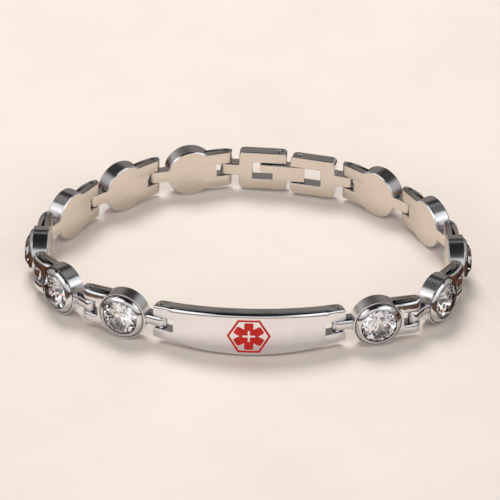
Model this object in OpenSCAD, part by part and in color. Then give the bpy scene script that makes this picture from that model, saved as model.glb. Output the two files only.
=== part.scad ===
/* [Stone links] */
// Diameter of each round link
disc_d = 8.8; // [8:0.1:10]
// Thickness of the round link, from its flat back to its front rim
disc_t = 2.8; // [2.6:0.1:3.4]
// Chamfer round the link's back
back_chamfer = 0.2; // [0.1:0.05:0.4]
// Width of the flat rim round the link's front
rim_w = 0.25; // [0.15:0.05:0.35]
// Width of the seam between the rim and the bezel
seam_w = 0.12; // [0.08:0.02:0.2]
// Depth of that seam
seam_depth = 0.15; // [0.1:0.05:0.3]
// Height of the bezel over the rim
bezel_rise = 0.7; // [0.5:0.05:1]
// How far the bezel's slope bulges from a straight line
bezel_bulge = 0.14; // [0.05:0.01:0.2]
// Width of the bezel's lip round the stone
lip_w = 0.2; // [0.15:0.05:0.3]

/* [Forks and tongues] */
// Thickness of a link's fork and tongue
fork_t = 2.2; // [2:0.1:2.5]
// Height over the two ears of a fork
fork_h = 6.8; // [5.6:0.1:7.4]
// Radius of the crowned front of the ears
ear_crown_r = 9; // [6:0.5:14]
// Angle from the ear's pin at which the crown runs into its round end
ear_crown_tilt = 14; // [8:1:18]
// Metal between the slot of a fork and the disc
yoke_w = 0.25; // [0.2:0.05:0.6]
// Height of a tongue
tongue_h = 2.2; // [1.8:0.1:2.6]
// Length of a tongue, from its pin to the disc or the clasp half that it belongs to
tongue_len = 2.4; // [2.2:0.05:3]
// Room between a tongue's tip and the bottom of its slot
tip_room = 0.95; // [0.5:0.05:1.2]

/* [Stones] */
// Diameter of each round stone
stone_d = 6.2; // [5.6:0.1:6.6]
// Width of its table, corner to corner
table_w = 3.6; // [3:0.1:4]
// Height of its crown, over the girdle
crown_h = 0.85; // [0.6:0.05:1]
// Height of its girdle
girdle_h = 0.15; // [0.1:0.05:0.25]
// Depth of its pavilion, under the girdle
pavilion_h = 2.5; // [2.2:0.1:2.65]
// How far the bezel's lip stands over the girdle
lip_over_girdle = 0.1; // [0.05:0.05:0.2]

/* [Name plate] */
// Distance between the plate's two pins
plate_pins = 30.3; // [26:0.5:36]
// Thickness of the plate
plate_t = 2.2; // [2:0.1:2.5]
// Radius of the plate's bowed front
plate_bow_r = 36; // [30:1:60]
// Height of the plate at its middle
plate_mid_h = 8.4; // [7.4:0.1:8.8]
// Height of the plate at its ends
plate_end_h = 6.3; // [5.6:0.1:7]
// Distance from a pin to the plate's end
plate_end = 1; // [0.9:0.05:1.3]
// Radius that rounds the plate's long front edges
plate_edge_r = 0.75; // [0.5:0.05:0.9]

/* [Emblem] */
// Width of the enamelled hexagon, corner to corner
hexagon_w = 7.6; // [6:0.1:7.6]
// Width of the hexagon's line
hexagon_line = 0.4; // [0.25:0.01:0.5]
// Length of the star's bars, end to end
star_w = 5.4; // [4:0.1:5.4]
// Width of the star's bars
star_bar = 1.6; // [1:0.1:1.6]
// Cut at the corners of the star's bars
star_corner = 0.22; // [0.1:0.02:0.4]
// Length of the bare cross in the star
cross_w = 2.2; // [1.5:0.1:2.6]
// Width of the bare cross's bars
cross_bar = 0.36; // [0.25:0.01:0.5]
// How far the emblem sits under the plate's middle
emblem_drop = 0.12; // [0:0.01:0.15]
// Depth of the enamel in the plate
enamel_t = 0.3; // [0.2:0.05:0.5]

/* [Clasp] */
// Height of the clasp's two halves
clasp_h = 7.5; // [7:0.1:8.4]
// Thickness of the clasp's two halves
clasp_t = 2.2; // [2:0.1:2.5]
// Radius of their outer corners
clasp_corner_r = 0.9; // [0.4:0.1:1.4]
// Distance from the catch's tongue pin to its cross pin
catch_len = 9.6; // [9.2:0.1:11]
// Distance from the cross pin to the lever's hinge pin
lever_len = 3.85; // [3.7:0.05:4.5]
// Distance from the lever's hinge pin to the body's tongue pin
body_len = 9.2; // [8.8:0.1:10.5]
// Distance from the cross pin and the hinge pin to the end of their half
prong_end = 1.45; // [1.3:0.05:1.6]
// Depth of the catch's slot
catch_slot = 6.2; // [6:0.1:6.4]
// Depth of the body's window
body_slot = 5.6; // [4:0.1:5.8]
// Height of the lever
lever_h = 3; // [2.6:0.1:3.3]
// How far the lever's broad part reaches past the cross pin
lever_head = 1; // [0.9:0.05:1.3]
// How far the lever's nose reaches past the cross pin
lever_nose = 3.3; // [2.4:0.1:3.4]
// Height of the lever's nose
nose_h = 1.5; // [1.2:0.1:1.7]
// Radius of the nose's rounded foot
nose_foot_r = 0.5; // [0.3:0.05:0.6]
// How far the lever's tail reaches past its hinge pin
lever_tail = 1; // [0.9:0.05:1.3]
// Angle between the lever's flat faces and the line through its two pins
lever_set = 12; // [8:1:14]
// Thickness of the lever
lever_t = 1.95; // [1.8:0.05:2.2]
// Metal of the lever behind its hinge pin, on the wrist side
lever_skin = 0.3; // [0.2:0.05:0.4]

/* [Pins and clearances] */
// Diameter of the pins
pin_d = 1; // [0.8:0.05:1.1]
// Bevel at the ends of the pins
pin_bevel = 0.12; // [0.05:0.01:0.2]
// How far a pin's ends lie under the metal around them
pin_inset = 0.04; // [0:0.02:0.15]
// Clearance round a pin, on its radius
pin_gap = 0.04; // [0.02:0.01:0.08]
// Clearance above and under a tongue or the lever in its slot
side_gap = 0.15; // [0.1:0.01:0.25]
// Clearance between the cross pin and the lever's hook, on the radius
hook_gap = 0.06; // [0.04:0.01:0.12]
// Clearance round a stone and the enamel
seat_gap = 0.03; // [0.02:0.01:0.06]

/* [Hidden] */
$fn = 64;
far = 40;
metal = [0.8, 0.8, 0.81];
satin = [0.7, 0.7, 0.71];
clear_stone = [0.9, 0.94, 0.97, 0.75];
enamel = [0.72, 0.06, 0.03];

// Stone links on each side of the plate
left_links = 6;
right_links = 5;

// How the chain lies: the degrees that each piece turns from the one before, going from the plate
// to the left, round the back and to the last link on the right
lie_turns = [21, 26, 44, 33, 17, 23.5, 19.5, 15, -5.5, 25, 19, 28.5, 37.5, 42];

function names(stem, count) = [for (i = [1:count]) str(stem, i)];

// Stone link, along its own X from its tongue's pin to its fork's pin, with Y outwards
disc_r = disc_d / 2;
back_y = -fork_t / 2;
rim_y = back_y + disc_t;
lip_y = rim_y + bezel_rise;
disc_x = tongue_len + disc_r;
slot_h = tongue_h + 2 * side_gap;
slot_reach = tip_room + fork_t / 2;
link_pitch = disc_x + disc_r + yoke_w + slot_reach;
root_overlap = 0.5;
lower_half_share = 0.3;
slope_steps = 5;
stone_r = stone_d / 2;
seat_r = stone_r + seat_gap;
lip_r = seat_r + lip_w;
bezel_r = disc_r - rim_w - seam_w;
girdle_y = lip_y - lip_over_girdle;

// The halves' height, and the height of the chain's middle over the surface it stands on
middle_z = max(disc_d, plate_mid_h, clasp_h) / 2;

// Plate, along its own X from its right pin to its left pin, with Y outwards
plate_mid_r = plate_bow_r - plate_t / 2;
bow_depth = sqrt(pow(plate_mid_r, 2) - pow(plate_pins / 2, 2));
plate_front_y = plate_bow_r - bow_depth;
plate_half = plate_pins / 2 + plate_end;
plate_end_tilt = asin(plate_pins / 2 / plate_mid_r);
barrel_drop = (plate_mid_h - plate_end_h) / 2;
barrel_r = (pow(plate_half, 2) + pow(barrel_drop, 2)) / (2 * barrel_drop);
function plate_half_h(x) = sqrt(pow(barrel_r, 2) - x * x) - barrel_r + plate_mid_h / 2;
plate_pin_half_h = plate_half_h(plate_pins / 2 + pin_d / 2);

// The pieces in the order in which they follow each other: plate, left links, catch, lever, body,
// right links
piece_lengths = concat(
    [plate_pins], [for (i = [1:left_links]) link_pitch],
    [catch_len, lever_len, body_len], [for (i = [1:right_links]) link_pitch]);
pieces = len(piece_lengths);
catch_i = left_links + 1;
lever_i = catch_i + 1;
body_i = lever_i + 1;

function total(list, last) = last < 0 ? 0 : list[last] + total(list, last - 1);
function sum_of(list) = total(list, len(list) - 1);
lie_headings = [for (i = [0:pieces - 1]) 180 - total(lie_turns, i - 1)];

// The loop closes when the pieces' steps add up to nothing. The headings are leaned by a share of
// their own cosine and sine, and the two shares are found by Newton's method
function leaned(c, s) = [for (h = lie_headings) h + c * cos(h) + s * sin(h)];
function open_end(hs, f) = [
    sum_of([for (i = [0:pieces - 1]) piece_lengths[i] * f[i] * cos(hs[i])]),
    sum_of([for (i = [0:pieces - 1]) piece_lengths[i] * f[i] * sin(hs[i])])];
function closed(c, s, turns) =
    let (
        hs = leaned(c, s),
        e = open_end(hs, [for (h = hs) 1]),
        dc = open_end(hs, [for (h = lie_headings) cos(h)]) * PI / 180,
        ds = open_end(hs, [for (h = lie_headings) sin(h)]) * PI / 180,
        det = ds[1] * dc[0] - ds[0] * dc[1],
        step_c = -(e[0] * ds[0] + e[1] * ds[1]) / det,
        step_s = (e[0] * dc[0] + e[1] * dc[1]) / det)
    turns == 0 ? hs : closed(c + step_c, s + step_s, turns - 1);
solved = closed(0, 0, 12);
headings = [for (h = solved) h - solved[0] + 180];
function pin_at(i) = i == 0 ? [plate_pins / 2, 0]
    : pin_at(i - 1) + piece_lengths[i - 1] * [cos(headings[i - 1]), sin(headings[i - 1])];
loop_pins = [for (i = [0:pieces]) pin_at(i)];

// The link pins' places round the loop, from the plate's left end: the first and last two pieces'
// starts, without the clasp's own two pins
link_pin_places = concat([for (i = [1:catch_i]) i], [for (i = [body_i + 1:pieces - 1]) i], [0]);

// Where a link starts and how it is turned: a left link runs with the loop and a right one against
// it, so both have their tongues towards the plate
function is_right(i) = i >= body_i;
function link_start(i) = loop_pins[is_right(i) ? i + 1 : i];
function link_turn(i) = headings[i] + (is_right(i) ? 180 : 0);
function outward(i) = [-sin(headings[i]), cos(headings[i])];
function along(i) = [cos(link_turn(i)), sin(link_turn(i))];

// How far the loop reaches along a plan direction, from the discs' and stones' rims, the halves'
// corners and the plate's front
rims = [
    [back_y, disc_r - back_chamfer], [back_y + back_chamfer, disc_r], [rim_y, disc_r],
    [rim_y + bezel_rise / 2 + bezel_bulge, (bezel_r + lip_r) / 2 + bezel_bulge], [lip_y, lip_r],
    [girdle_y + crown_h, table_w / 2]];
function disc_reach(i, d) =
    let (c = link_start(i) + disc_x * along(i))
    max([for (rim = rims) c * d + rim[0] * (outward(i) * d) + rim[1] * abs(along(i) * d)]);
function half_reach(i, d) =
    max([for (x = [tongue_len, piece_lengths[i] + prong_end], y = [-1, 1])
        (link_start(i) + x * along(i) + y * clasp_t / 2 * outward(i)) * d]);
function reach(d) = max(concat(
    [for (i = [1:left_links]) disc_reach(i, d)],
    [for (i = [body_i + 1:pieces - 1]) disc_reach(i, d)],
    [half_reach(catch_i, d), half_reach(body_i, d)],
    [plate_half * abs(d[0]) - plate_front_y * d[1]]));
middle = [reach([1, 0]) - reach([-1, 0]), reach([0, 1]) - reach([0, -1])] / 2;

module at_piece(i) {
  s = link_start(i);
  translate([s[0] - middle[0], s[1] - middle[1], middle_z])
    rotate([0, 0, link_turn(i)])
      rotate([is_right(i) ? 180 : 0, 0, 0]) children();
}

module at_pin(i) {
  translate([loop_pins[i][0] - middle[0], loop_pins[i][1] - middle[1], middle_z]) children();
}

// A bar in plan with a round end on its pin, which runs along X to its root
module bar_plan(l, t) {
  circle(t / 2);
  translate([0, -t / 2]) square([l, t]);
}

// A bore along Z, right through everything
module bore() {
  cylinder(r = pin_d / 2 + pin_gap, h = far, center = true);
}

// Half of the disc's section. The bezel's slope is a parabola through its foot and its lip
module disc_section() {
  foot = [bezel_r, rim_y];
  lip = [lip_r, lip_y];
  out = [lip[1] - foot[1], foot[0] - lip[0]] / norm(lip - foot);
  slope = [for (t = [0:1 / slope_steps:1])
      foot + t * (lip - foot) + 4 * t * (1 - t) * bezel_bulge * out];
  polygon(concat([
    [0, back_y], [disc_r - back_chamfer, back_y], [disc_r, back_y + back_chamfer],
    [disc_r, rim_y], [disc_r - rim_w, rim_y], [disc_r - rim_w, rim_y - seam_depth],
    [bezel_r, rim_y - seam_depth]], slope, [[0, lip_y]]));
}

// The room for the stone: its cone, its girdle and the open way out. The cone lies lower by as much
// as the lower halves stand out from the pavilion's own cone
module stone_seat_section() {
  halves_sag = pavilion_h * lower_half_share * (1 - cos(22.5));
  under_girdle = girdle_y - girdle_h - seat_gap - halves_sag;
  polygon([
    [0, under_girdle - pavilion_h], [seat_r, under_girdle], [seat_r, lip_y + 1],
    [0, lip_y + 1]]);
}

// The fork in plan, from its pin back to its root: straight at the back, crowned in front and
// round at the pin, where the crown's arc runs into the end's
module fork_plan(l) {
  tip = fork_t / 2;
  tangent = [sin(ear_crown_tilt), cos(ear_crown_tilt)];
  rotate(180) bar_plan(l, fork_t);
  intersection() {
    translate(-(ear_crown_r - tip) * tangent) circle(ear_crown_r);
    translate([-l, 0]) square([l + tip * tangent[0], ear_crown_r]);
  }
}

module revolved() {
  translate([disc_x, 0, 0]) rotate([-90, 0, 0]) rotate_extrude() children();
}

module stone_link() {
  fork_l = link_pitch - disc_x - sqrt(pow(disc_r, 2) - pow(fork_h / 2, 2)) + root_overlap;
  color(metal) difference() {
    union() {
      revolved() disc_section();
      translate([link_pitch, 0, -fork_h / 2]) linear_extrude(fork_h) fork_plan(fork_l);
      translate([0, 0, -tongue_h / 2]) linear_extrude(tongue_h)
        bar_plan(tongue_len + root_overlap, fork_t);
    }
    revolved() stone_seat_section();
    translate([link_pitch - slot_reach, -far / 2, -slot_h / 2]) cube([far, far, slot_h]);
    bore();
    translate([link_pitch, 0, 0]) bore();
  }
}

// A round brilliant: an eight-sided table, stars, kites and halves over and under a girdle with
// sixteen sides. The kites are flat, because each side corner lies on the line from end to end
module brilliant() {
  girdle = [for (k = [0:15]) k * 22.5];
  table_r = table_w / 2;
  star_r = (table_r + stone_r) / 2;
  star_z = crown_h * (stone_r - star_r * cos(22.5)) / (stone_r - table_r);
  half_r = stone_r * lower_half_share;
  half_z = -girdle_h - pavilion_h * (stone_r - half_r * cos(22.5)) / stone_r;
  function ring(r, z, from, step) = [for (a = [from:step:359]) [r * cos(a), r * sin(a), z]];
  points = concat(
    ring(table_r, crown_h, 0, 45), ring(star_r, star_z, 22.5, 45), ring(stone_r, 0, 0, 22.5),
    ring(stone_r, -girdle_h, 0, 22.5), ring(half_r, half_z, 22.5, 45),
    [[0, 0, -girdle_h - pavilion_h]]);
  culet = len(points) - 1;
  function table(k) = k % 8;
  function star(k) = 8 + k % 8;
  function top(k) = 16 + (k + 16) % 16;
  function foot(k) = 32 + (k + 16) % 16;
  function half(k) = 48 + (k + 8) % 8;
  faces = concat(
    [[for (k = [7:-1:0]) table(k)]],
    [for (k = [0:7]) [table(k), table(k + 1), star(k)]],
    [for (k = [0:7]) [table(k), star(k), top(2 * k), star(k + 7)]],
    [for (k = [0:7]) [star(k), top(2 * k + 1), top(2 * k)]],
    [for (k = [0:7]) [star(k), top(2 * k + 2), top(2 * k + 1)]],
    [for (k = [0:15]) [top(k), top(k + 1), foot(k + 1), foot(k)]],
    [for (k = [0:7]) [half(k), foot(2 * k), foot(2 * k + 1)]],
    [for (k = [0:7]) [half(k), foot(2 * k + 1), foot(2 * k + 2)]],
    [for (k = [0:7]) [culet, half(k - 1), foot(2 * k), half(k)]]);
  polyhedron(points, faces);
}

module stone() {
  color(clear_stone) translate([disc_x, girdle_y, 0]) rotate([-90, 0, 0]) brilliant();
}

module link_pin(half_h) {
  r = pin_d / 2;
  h = half_h - pin_inset;
  color(satin) rotate_extrude()
    polygon([
      [0, -h], [r - pin_bevel, -h], [r, -h + pin_bevel], [r, h - pin_bevel], [r - pin_bevel, h],
      [0, h]]);
}

// Half of the strip's section: square at the back and rounded along its front edges
module strip_section(r_in, r_out, half_h, edge_r) {
  translate([r_in, -half_h]) square([r_out - r_in - edge_r, 2 * half_h]);
  if (edge_r > 0) {
    translate([r_in, edge_r - half_h]) square([r_out - r_in, 2 * (half_h - edge_r)]);
    for (side = [-1, 1])
      translate([r_out - edge_r, side * (half_h - edge_r)]) circle(edge_r);
  }
}

// A stretch of the plate's bowed strip between two depths under its front
module bowed_strip(depth_out, depth_in, half_h, edge_r) {
  r_in = plate_bow_r - depth_in;
  half_angle = asin((plate_half + 1) / r_in);
  translate([plate_pins / 2, -bow_depth, 0]) rotate([0, 0, 90 - half_angle])
    rotate_extrude(angle = 2 * half_angle, $fn = 360)
      strip_section(r_in, plate_bow_r - depth_out, half_h, edge_r);
}

// The plate from the front: two shallow arcs that come closer towards the ends
module barrel_outline() {
  arc_y = barrel_r - plate_mid_h / 2;
  translate([plate_pins / 2, 0]) intersection() {
    translate([0, -arc_y]) circle(barrel_r, $fn = 720);
    translate([0, arc_y]) circle(barrel_r, $fn = 720);
  }
}

// One half of the plate from above, from past its middle to an end that is square to the bow,
// sharp in front and round at the back
module plate_end_plan() {
  l = plate_pins * 0.6;
  translate([plate_end - plate_t / 2, 0]) {
    circle(plate_t / 2);
    square([plate_t / 2, plate_t]);
    translate([-l, -far / 2]) square([l, far]);
  }
}

module upright_cut(h) {
  translate([0, far / 2, 0]) rotate([90, 0, 0]) linear_extrude(h) children();
}

module id_plate() {
  color(metal) difference() {
    intersection() {
      bowed_strip(0, plate_t, plate_mid_h / 2, plate_edge_r);
      upright_cut(far) barrel_outline();
      translate([0, 0, -far / 2]) linear_extrude(far) union() {
        translate([plate_pins, 0]) rotate(-plate_end_tilt) plate_end_plan();
        rotate(plate_end_tilt) mirror([1, 0]) plate_end_plan();
      }
    }
    for (x = [slot_reach - far, plate_pins - slot_reach])
      translate([x, -far / 2, -slot_h / 2]) cube([far, far, slot_h]);
    bore();
    translate([plate_pins, 0, 0]) bore();
    intersection() {
      bowed_strip(-1, enamel_t, plate_mid_h, 0);
      upright_cut(far / 2) emblem_outline(seat_gap);
    }
  }
}

// One bar of the star with its corners cut
module star_bar(grow) {
  l = star_w / 2 + grow;
  w = star_bar / 2 + grow;
  c = star_corner;
  polygon([
    [l - c, w], [c - l, w], [-l, w - c], [-l, c - w], [c - l, -w], [l - c, -w], [l, c - w],
    [l, w - c]]);
}

// A six-sided ring and a six-armed star with a bare cross in it; grow widens the enamel's outline
module emblem_outline(grow) {
  hexagon_r = hexagon_w / 2;
  line = hexagon_line / cos(30);
  translate([plate_pins / 2, -emblem_drop]) {
    difference() {
      circle(hexagon_r + grow, $fn = 6);
      circle(hexagon_r - line - grow, $fn = 6);
    }
    difference() {
      for (a = [30, 90, 150]) rotate(a) star_bar(grow);
      for (a = [0, 90]) rotate(a) square([cross_w - 2 * grow, cross_bar - 2 * grow], center = true);
    }
  }
}

module plate_emblem() {
  color(enamel) intersection() {
    bowed_strip(0, enamel_t - seat_gap, plate_mid_h, 0);
    upright_cut(far / 2) emblem_outline(0);
  }
}

// A clasp half: a block with round corners and a tongue, with a slot in from its other end
module clasp_half(pin_x, slot) {
  end_x = pin_x + prong_end;
  l = end_x - tongue_len;
  r = clasp_corner_r;
  difference() {
    union() {
      translate([tongue_len + l / 2, clasp_t / 2, 0]) rotate([90, 0, 0]) linear_extrude(clasp_t)
        union() {
          square([l - 2 * r, clasp_h], center = true);
          square([l, clasp_h - 2 * r], center = true);
          for (x = [-1, 1], z = [-1, 1])
            translate([x * (l / 2 - r), z * (clasp_h / 2 - r)]) circle(r);
        }
      translate([0, 0, -tongue_h / 2]) linear_extrude(tongue_h)
        bar_plan(tongue_len + root_overlap, clasp_t);
    }
    translate([end_x - slot, -far / 2, -lever_h / 2 - side_gap])
      cube([far, far, lever_h + 2 * side_gap]);
    bore();
    translate([pin_x, 0, 0]) bore();
  }
}

module clasp_catch() {
  color(satin) clasp_half(catch_len, catch_slot);
}

module clasp_body() {
  color(satin) clasp_half(body_len, body_slot);
}

// The lever from inside: a broad part over both pins and a nose with a rounded foot, which runs on
// along the slot's top
module lever_outline(hinge_x) {
  translate([-lever_head, -lever_h / 2]) square([lever_head + hinge_x + lever_tail, lever_h]);
  translate([0, lever_h / 2 - nose_h]) {
    translate([nose_foot_r - lever_nose, 0]) square([lever_nose - nose_foot_r, nose_h]);
    translate([-lever_nose, nose_foot_r]) square([lever_nose, nose_h - nose_foot_r]);
    translate([nose_foot_r - lever_nose, nose_foot_r]) circle(nose_foot_r);
  }
}

// The lever from its cross pin, along X to its hinge pin, with Y outwards. Its hook is a slot that
// is open away from the wrist, the way the cross pin leaves it when the lever swings in
module clasp_lever() {
  back_y = -lever_len * sin(lever_set) - pin_d / 2 - pin_gap - lever_skin;
  color(satin) difference() {
    rotate([0, 0, lever_set]) translate([0, back_y + lever_t, 0]) rotate([90, 0, 0])
      linear_extrude(lever_t) lever_outline(lever_len * cos(lever_set));
    translate([lever_len, 0, 0]) bore();
    translate([0, 0, -far / 2]) linear_extrude(far) rotate(90)
      bar_plan(lever_t, pin_d + 2 * hook_gap);
  }
}

at_piece(0) id_plate();
at_piece(0) plate_emblem();
for (i = [1:left_links]) {
  at_piece(i) stone_link();
  at_piece(i) stone();
}
for (i = [1:right_links]) {
  at_piece(pieces - i) stone_link();
  at_piece(pieces - i) stone();
}
at_piece(catch_i) clasp_catch();
at_piece(body_i) clasp_body();
at_piece(lever_i) clasp_lever();
at_pin(lever_i) link_pin(clasp_h / 2);  // catch_pin
at_pin(body_i) link_pin(clasp_h / 2);  // lever_pin
for (k = [0:len(link_pin_places) - 1])
  at_pin(link_pin_places[k]) link_pin(link_pin_places[k] < 2 ? plate_pin_half_h : fork_h / 2);
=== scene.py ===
import bmesh
import bpy
import numpy as np
from mathutils import Matrix, Vector


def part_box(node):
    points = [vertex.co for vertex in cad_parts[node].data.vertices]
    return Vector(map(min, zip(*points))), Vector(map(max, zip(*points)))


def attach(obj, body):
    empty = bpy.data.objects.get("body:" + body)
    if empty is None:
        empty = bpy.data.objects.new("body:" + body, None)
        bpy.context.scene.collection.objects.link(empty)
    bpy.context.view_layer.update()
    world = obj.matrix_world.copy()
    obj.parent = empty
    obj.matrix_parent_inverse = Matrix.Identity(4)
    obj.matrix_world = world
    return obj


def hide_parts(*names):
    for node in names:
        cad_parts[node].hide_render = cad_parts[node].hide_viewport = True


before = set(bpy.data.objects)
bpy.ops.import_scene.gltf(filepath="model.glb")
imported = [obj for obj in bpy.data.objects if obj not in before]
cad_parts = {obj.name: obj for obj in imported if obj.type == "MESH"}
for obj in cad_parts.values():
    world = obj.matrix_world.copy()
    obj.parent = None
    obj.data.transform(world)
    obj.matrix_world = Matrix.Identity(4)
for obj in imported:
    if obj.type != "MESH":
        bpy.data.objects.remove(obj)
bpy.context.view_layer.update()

bl_info = {
    "name": "Medical alert bracelet",
    "version": (1, 0, 0),
    "blender": (4, 5, 0),
    "location": "3D View > Sidebar > Bracelet",
    "description": "Dresses the packed bracelet: steel links, name plate, enamel, stones and clasp",
    "category": "Object",
}

MM = 0.001

# The finishes of one mesh, in the order of its material slots; the seam's finish is steel painted
# dark, as painted shade in recesses
POLISHED, SATIN, SHADED_SEAM, TURNED = 0, 1, 2, 3

# Turns a shape whose height runs along Z so that it runs along Y, outwards from the wrist
FACING = np.array([[1, 0, 0], [0, 0, -1], [0, 1, 0]], float)

# The turn and the start of a shape that is made where it belongs
IN_PLACE = (np.eye(3), np.zeros(3))

# The bores round the pins: their radius and the bevel at their mouths
BORE_R = 0.54 * MM
BORE_BEVEL = 0.03 * MM

# From a pin of the plate to the bottom of its slot
PLATE_SLOT = 2.05 * MM

# How deep a fork or a tongue stands in the disc that it is cast with
ROOT = 0.5 * MM

# How far one face stands over another that would lie in the same plane
LAP = 0.003 * MM

# How much the pattern of the brush marks is drawn out along them
MARK_SHARE = 0.12

LINKS = [("left", k) for k in range(1, 7)] + [("right", k) for k in range(1, 6)]


def length(name, description, millimetres, high=100.0):
    """A property that holds a length."""
    return bpy.props.FloatProperty(
        name=name, description=description, default=millimetres * MM, min=0.0, max=high * MM,
        precision=6, step=0.01, unit="LENGTH")


def share(name, description, default):
    """A property from 0 to 1."""
    return bpy.props.FloatProperty(
        name=name, description=description, default=default, min=0.0, max=1.0, precision=3,
        subtype="FACTOR")


def colour(name, description, default):
    """A property that holds a linear colour."""
    return bpy.props.FloatVectorProperty(
        name=name, description=description, default=default, size=3, min=0.0, max=1.0,
        subtype="COLOR")


class LinkSizes(bpy.types.PropertyGroup):
    """The stone links."""

    disc_d: length("Disc", "Diameter of each round link", 8.8)
    disc_t: length("Disc thickness", "From the flat back to the front rim", 2.8)
    back_chamfer: length("Back chamfer", "Chamfer round the disc's back", 0.2)
    rim_w: length("Rim", "Width of the flat rim round the disc's front", 0.25)
    seam_w: length("Seam", "Width of the seam between rim and bezel", 0.12)
    seam_depth: length("Seam depth", "Depth of that seam", 0.15)
    bezel_rise: length("Bezel rise", "Height of the bezel over the rim", 0.7)
    bezel_bulge: length("Bezel bulge", "How far the bezel's slope bulges", 0.09)
    lip_w: length("Lip", "Width of the lip round the stone", 0.16)
    fork_t: length("Fork thickness", "Thickness of the fork and the tongue", 2.2)
    fork_h: length("Fork height", "Height over a fork's two ears", 6.8)
    crown_r: length("Ear crown", "Radius of the crowned front of the ears", 9)
    crown_tilt: bpy.props.FloatProperty(
        name="Crown tilt", description="Angle at which the crown runs into the ear's round end",
        default=np.radians(14), subtype="ANGLE")
    tongue_h: length("Tongue height", "Height of a tongue", 2.2)
    tongue_len: length("Tongue length", "From the tongue's pin to the disc", 2.4)
    slot_reach: length("Slot reach", "From the fork's pin to the bottom of its slot", 2.05)
    side_gap: length("Side gap", "Clearance over and under a tongue", 0.15)
    front_edge: length("Front edge", "Radius of the fork's and tongue's front edges", 0.75)
    back_edge: length("Back edge", "Radius of their back edges", 0.09)


class StoneSizes(bpy.types.PropertyGroup):
    """The seats of the round stones."""

    stone_d: length("Stone", "Diameter of each stone", 6.2)
    lip_over_girdle: length("Lip over girdle", "Height of the lip over the stone's girdle", 0.1)
    girdle_h: length("Girdle", "Height of the girdle", 0.15)
    pavilion_h: length("Pavilion", "Depth of the pavilion", 2.5)
    seat_gap: length("Seat gap", "Clearance round a stone", 0.03)


class PlateSizes(bpy.types.PropertyGroup):
    """The name plate."""

    bow_r: length("Bow", "Radius of the bowed front", 36, high=200)
    thickness: length("Thickness", "Thickness of the plate", 2.2)
    mid_h: length("Middle height", "Height at the middle", 8.4)
    end_h: length("End height", "Height at the ends", 6.3)
    end: length("End", "From a pin to the plate's end", 1.0)
    edge_r: length("Front edge", "Radius of the long front edges", 0.75)
    skin: length("Enamel stand", "How far the enamel stands proud of the polished front", 0.02)


class EmblemSizes(bpy.types.PropertyGroup):
    """The enamelled sign."""

    hexagon_w: length("Hexagon", "Width of the hexagon, corner to corner", 7.6)
    hexagon_line: length("Line", "Width of the hexagon's line", 0.4)
    star_w: length("Star", "Length of the star's bars", 5.4)
    star_bar: length("Star bar", "Width of the star's bars", 1.6)
    drop: length("Drop", "How far the sign sits under the plate's middle", 0.12)
    star_corner: length("Star corner", "Cut at the corners of the bars", 0.22)
    cross_w: length("Cross", "Length of the bare cross", 2.2)
    cross_bar: length("Cross bar", "Width of the bare cross's bars", 0.36)


class Finishes(bpy.types.PropertyGroup):
    """The colours and the gloss of the metal, the enamel and the stones."""

    steel: colour("Steel", "Colour of the polished steel", (0.80, 0.795, 0.82))
    # The satin steel's warm beige is painted reflection of warm surroundings, not the steel's own
    # colour
    satin: colour("Satin steel", "Colour of the satin steel", (0.80, 0.72, 0.64))
    polish: share("Polish", "Roughness of the polished steel", 0.12)
    satin_rough: share("Satin", "Roughness of the satin steel", 0.34)
    turned_rough: share("Turned", "Roughness of the discs' turned sides", 0.2)
    enamel: colour("Enamel", "Colour of the enamel", (0.62, 0.011, 0.006))
    stone_ior: bpy.props.FloatProperty(
        name="Stone refraction", description="How strongly the stones bend light", default=2.17,
        min=1.3, max=2.6)


class StageLook(bpy.types.PropertyGroup):
    """The floor, the light and the camera."""

    floor: colour("Floor", "Colour of the floor", (0.79, 0.715, 0.66))
    surround: colour(
        "Surround", "Colour of the dark tray that reflections see", (0.12, 0.038, 0.011))
    focal: bpy.props.FloatProperty(
        name="Focal length", description="Focal length of the camera, in millimetres",
        default=368.6, min=20, max=1000)
    roll: bpy.props.FloatProperty(
        name="Roll", description="How far the camera leans to its side", default=0.0086,
        subtype="ANGLE")
    eye: bpy.props.FloatVectorProperty(
        name="Camera", description="Where the camera stands", size=3, subtype="TRANSLATION",
        default=(0.01836, -0.7644, 0.4810), precision=5)
    aim: bpy.props.FloatVectorProperty(
        name="Aim", description="What the camera looks at", size=3, subtype="TRANSLATION",
        default=(0.000245, -0.001141, 0.0044), precision=6)


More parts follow.
